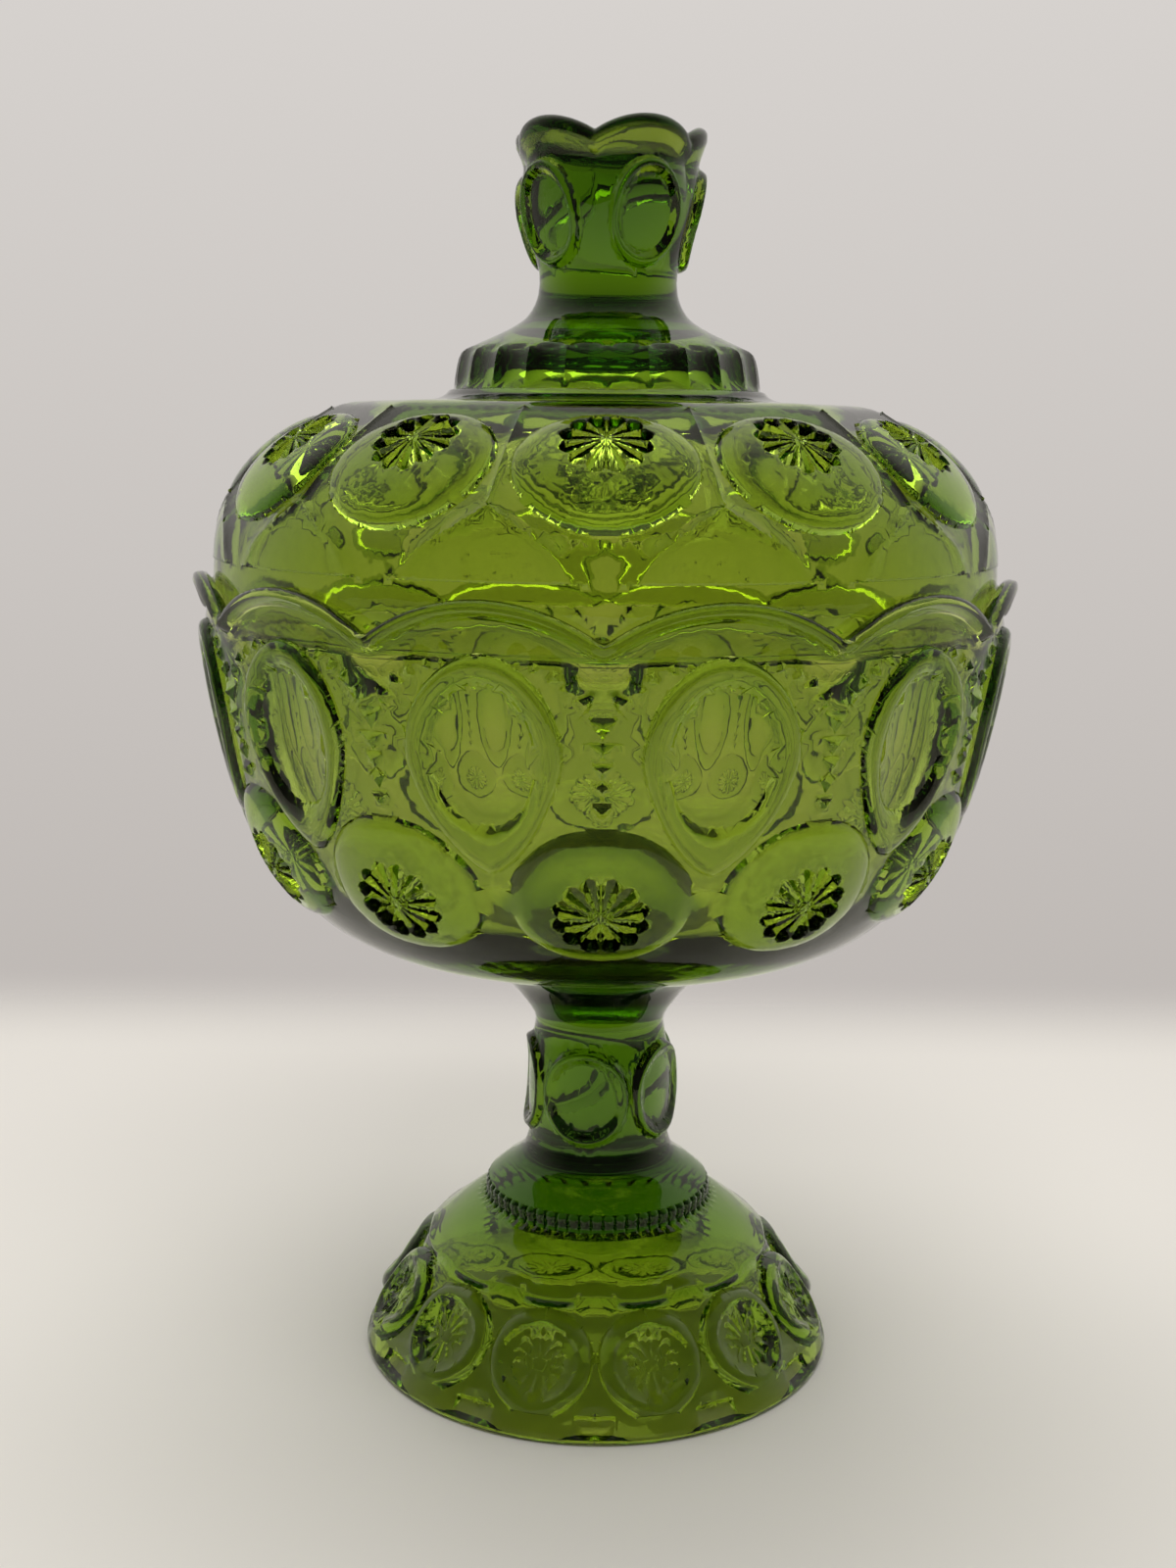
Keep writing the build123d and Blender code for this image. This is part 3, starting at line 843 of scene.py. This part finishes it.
class Body(Enum):
    """CAD bodies that the skins ride on."""

    BASE = "base"
    LID = "lid"


@dataclass(frozen=True)
class PressedGlass:
    """Moss-green pressed glass: tinted all through, with the fire-polished ripple of a hot mould."""

    name: str = "green_pressed_glass"
    surface_tint: tuple[float, float, float] = (0.75, 0.78, 0.34)
    tint: tuple[float, float, float] = (0.585, 0.735, 0.08)
    density: float = 160.0  # absorption, per metre
    index: float = 1.52
    shine: tuple[float, float, float] = (0.66, 0.70, 0.48)  # tint of reflections seen straight on
    roughness: float = 0.02
    ripple_size: float = 0.012  # metres from crest to crest
    ripple: float = 0.00012  # metres high

    def make(self) -> bpy.types.Material:
        """Builds the material.

        Returns:
            A node material that reads object coordinates.
        """
        material = bpy.data.materials.new(self.name)
        material.use_nodes = True
        tree = material.node_tree
        tree.nodes.clear()
        output = tree.nodes.new("ShaderNodeOutputMaterial")
        shader = tree.nodes.new("ShaderNodeBsdfPrincipled")
        shader.inputs["Base Color"].default_value = (*self.surface_tint, 1.0)
        shader.inputs["Roughness"].default_value = self.roughness
        shader.inputs["IOR"].default_value = self.index
        shader.inputs["Specular Tint"].default_value = (*self.shine, 1.0)
        shader.inputs["Transmission Weight"].default_value = 1.0
        volume = tree.nodes.new("ShaderNodeVolumeAbsorption")
        volume.inputs["Color"].default_value = (*self.tint, 1.0)
        volume.inputs["Density"].default_value = self.density
        place = tree.nodes.new("ShaderNodeTexCoord")
        noise = tree.nodes.new("ShaderNodeTexNoise")
        noise.inputs["Scale"].default_value = 1.0 / self.ripple_size
        noise.inputs["Detail"].default_value = 3.0
        noise.inputs["Roughness"].default_value = 0.45
        bump = tree.nodes.new("ShaderNodeBump")
        bump.inputs["Strength"].default_value = 1.0
        bump.inputs["Distance"].default_value = self.ripple
        link = tree.links.new
        link(place.outputs["Object"], noise.inputs["Vector"])
        link(noise.outputs["Fac"], bump.inputs["Height"])
        link(bump.outputs["Normal"], shader.inputs["Normal"])
        link(shader.outputs["BSDF"], output.inputs["Surface"])
        link(volume.outputs["Volume"], output.inputs["Volume"])
        return material


@dataclass
class Skin:
    """One closed skin of glass, joined from patches and dressed."""

    name: str
    body: Body
    nodes: tuple[str, ...]
    parts: tuple[Bowl | Foot | Stem | Lid | Finial, ...]
    crease: float = 38.0  # degrees between two faces that make their edge a sharp one
    merge: float = 0.00002  # metres within which two vertices are one

    def make(self, material: bpy.types.Material) -> bpy.types.Object:
        """Joins the patches, closes the rings between them and hands the piece to its body.

        Args:
            material: Finish of the glass.

        Returns:
            The finished object.
        """
        whole = bmesh.new()
        for part in self.parts:
            patch = part.build()
            holder = bpy.data.meshes.new("patch")
            patch.to_mesh(holder)
            patch.free()
            whole.from_mesh(holder)
            bpy.data.meshes.remove(holder)
        bmesh.ops.remove_doubles(whole, verts=whole.verts, dist=self.merge)
        bmesh.ops.dissolve_degenerate(whole, edges=whole.edges, dist=1e-7)
        bmesh.ops.recalc_face_normals(whole, faces=whole.faces)
        open_edges = sum(not edge.is_manifold for edge in whole.edges)
        for face in whole.faces:
            face.smooth = True
        for edge in whole.edges:
            edge.smooth = edge.calc_face_angle(0.0) < radians(self.crease)
        mesh = bpy.data.meshes.new(self.name)
        whole.to_mesh(mesh)
        triangles = sum(len(face.verts) - 2 for face in whole.faces)
        volume = whole.calc_volume(signed=True) * 1e6
        whole.free()
        piece = bpy.data.objects.new(self.name, mesh)
        bpy.context.scene.collection.objects.link(piece)
        mesh.materials.append(material)
        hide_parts(*self.nodes)
        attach(piece, self.body.value)
        LOG.info("%s: %d triangles, %d open edges, %.0f cm3", self.name, triangles, open_edges, volume)
        return piece


@dataclass
class Studio:
    """Pale table, grey wall far behind, soft light and the camera."""

    distance: float = 0.465  # of the camera from the axis, in metres
    eye_height: float = 0.2324  # of the camera above the table, in metres
    pitch: float = 10.475  # degrees that it looks down
    yaw: float = 0.44
    roll: float = 0.6
    lens: float = 43.35
    film: Point = (27.0, 36.0)  # in millimetres
    table_half: Point = (2.5, 1.0)  # half the table's width and depth, in metres
    table_place: tuple[float, float, float] = (0.0, -0.66, -0.0001)  # of its middle, in metres
    table_colour: tuple[float, float, float] = (0.78, 0.765, 0.735)
    table_fade: Point = (0.22, 0.335)  # metres behind the axis between which the table fades out
    lamp_size: Point = (0.9, 0.6)
    lamp_colour: tuple[float, float, float] = (1.0, 0.97, 0.93)
    room: tuple[tuple[float, tuple[float, float, float]], ...] = (
        (0.37, (0.525, 0.492, 0.468)), (0.60, (0.67, 0.64, 0.615)), (1.0, (1.0, 0.97, 0.93)),
    )  # colour of the room by how high one looks, from 0 straight down to 1 straight up
    dim: float = 0.15  # brightness of the room on the camera's side
    dim_range: Point = (-0.7, 0.5)  # from front to back, between which it brightens
    bounces: int = 24

    def make_camera(self) -> None:
        """Sets the camera up in front of the dish, a little above it."""
        data = bpy.data.cameras.new("camera")
        data.sensor_fit = "VERTICAL"
        data.sensor_width, data.sensor_height = self.film
        data.lens = self.lens
        camera = bpy.data.objects.new("camera", data)
        camera.location = (0.0, -self.distance, self.eye_height)
        turn = Matrix.Rotation(radians(self.yaw), 4, "Z") @ Matrix.Rotation(radians(90 - self.pitch), 4, "X")
        camera.rotation_euler = (turn @ Matrix.Rotation(radians(self.roll), 4, "Z")).to_euler()
        bpy.context.scene.collection.objects.link(camera)
        bpy.context.scene.camera = camera

    def make_table(self) -> None:
        """Lays a near-white table under the dish that fades out behind it."""
        bm = bmesh.new()
        bmesh.ops.create_grid(bm, x_segments=1, y_segments=1, size=1.0)
        bmesh.ops.scale(bm, vec=(*self.table_half, 1.0), verts=bm.verts)
        bmesh.ops.translate(bm, vec=self.table_place, verts=bm.verts)
        mesh = bpy.data.meshes.new("table")
        bm.to_mesh(mesh)
        bm.free()
        table = bpy.data.objects.new("table", mesh)
        bpy.context.scene.collection.objects.link(table)
        mesh.materials.append(self._table_finish())

    def _table_finish(self) -> bpy.types.Material:
        """Matt near-white, see-through along its back edge."""
        material = bpy.data.materials.new("table")
        material.use_nodes = True
        tree = material.node_tree
        tree.nodes.clear()
        output = tree.nodes.new("ShaderNodeOutputMaterial")
        matt = tree.nodes.new("ShaderNodeBsdfDiffuse")
        matt.inputs["Color"].default_value = (*self.table_colour, 1.0)
        clear = tree.nodes.new("ShaderNodeBsdfTransparent")
        mix = tree.nodes.new("ShaderNodeMixShader")
        place = tree.nodes.new("ShaderNodeTexCoord")
        split = tree.nodes.new("ShaderNodeSeparateXYZ")
        ramp = tree.nodes.new("ShaderNodeMapRange")
        ramp.interpolation_type = "SMOOTHSTEP"
        ramp.inputs["From Min"].default_value = self.table_fade[0]
        ramp.inputs["From Max"].default_value = self.table_fade[1]
        link = tree.links.new
        link(place.outputs["Object"], split.inputs["Vector"])
        link(split.outputs["Y"], ramp.inputs["Value"])
        link(ramp.outputs["Result"], mix.inputs["Fac"])
        link(matt.outputs["BSDF"], mix.inputs[1])
        link(clear.outputs["BSDF"], mix.inputs[2])
        link(mix.outputs["Shader"], output.inputs["Surface"])
        return material

    def make_room(self) -> None:
        """Fills the room with pale light that is brighter above and dimmer on the camera's side."""
        world = bpy.data.worlds.new("room")
        bpy.context.scene.world = world
        world.use_nodes = True
        tree = world.node_tree
        tree.nodes.clear()
        output = tree.nodes.new("ShaderNodeOutputWorld")
        light = tree.nodes.new("ShaderNodeBackground")
        light.inputs["Strength"].default_value = 1.0
        place = tree.nodes.new("ShaderNodeTexCoord")
        split = tree.nodes.new("ShaderNodeSeparateXYZ")
        rise = tree.nodes.new("ShaderNodeValToRGB")
        rise.color_ramp.elements.new(0.5)
        for stop, (position, colour) in zip(rise.color_ramp.elements, self.room):
            stop.position = position
            stop.color = (*colour, 1.0)
        lift = tree.nodes.new("ShaderNodeMapRange")
        lift.inputs["From Min"].default_value = -1.0
        side = tree.nodes.new("ShaderNodeMapRange")
        side.interpolation_type = "SMOOTHSTEP"
        side.inputs["From Min"].default_value = self.dim_range[0]
        side.inputs["From Max"].default_value = self.dim_range[1]
        side.inputs["To Min"].default_value = self.dim
        shade = tree.nodes.new("ShaderNodeMix")
        shade.data_type = "RGBA"
        shade.blend_type = "MULTIPLY"
        shade.inputs["Factor"].default_value = 1.0
        link = tree.links.new
        link(place.outputs["Generated"], split.inputs["Vector"])
        link(split.outputs["Z"], lift.inputs["Value"])
        link(lift.outputs["Result"], rise.inputs["Fac"])
        link(split.outputs["Y"], side.inputs["Value"])
        link(rise.outputs["Color"], shade.inputs["A"])
        link(side.outputs["Result"], shade.inputs["B"])
        link(shade.outputs["Result"], light.inputs["Color"])
        link(light.outputs["Background"], output.inputs["Surface"])

    def make_lamp(self, name: str, energy: float, place: tuple[float, float, float], tilt: float) -> None:
        """Hangs one large soft lamp over the dish, hidden from reflections.

        Args:
            name: Name of the lamp.
            energy: Its power in watts.
            place: Where it hangs, in metres.
            tilt: Degrees that it is tipped towards the dish.
        """
        data = bpy.data.lights.new(name, "AREA")
        data.shape = "RECTANGLE"
        data.size, data.size_y = self.lamp_size
        data.energy = energy
        data.color = self.lamp_colour
        lamp = bpy.data.objects.new(name, data)
        lamp.location = place
        lamp.rotation_euler = Euler((radians(tilt), 0.0, 0.0))
        lamp.visible_glossy = False
        bpy.context.scene.collection.objects.link(lamp)

    def make(self) -> None:
        """Sets up everything round the dish."""
        bpy.context.scene.view_settings.view_transform = "Standard"
        bpy.context.scene.cycles.max_bounces = self.bounces
        bpy.context.scene.cycles.transmission_bounces = self.bounces
        self.make_camera()
        self.make_table()
        self.make_room()
        self.make_lamp("ceiling_lamp", energy=5.0, place=(-0.1, 0.25, 1.25), tilt=-12.0)
        self.make_lamp("front_lamp", energy=7.2, place=(0.15, -0.75, 1.3), tilt=26.0)


def main() -> None:
    """Builds the stage, then both skins of glass."""
    logging.basicConfig(level=logging.INFO, format="%(name)s: %(message)s")
    Studio().make()
    glass = PressedGlass().make()
    foot, bowl, lid = Foot(), Bowl(), Lid()
    stem = Stem(low=foot.waist, high=bowl.neck)
    finial = Finial(joint=lid.joint)
    Skin("base_glass", Body.BASE, ("foot", "stem", "joining_wafer", "bowl"), (foot, stem, bowl)).make(glass)
    Skin("lid_glass", Body.LID, ("lid_dome", "lid_finial"), (lid, finial)).make(glass)


if __name__ == "__main__":
    main()
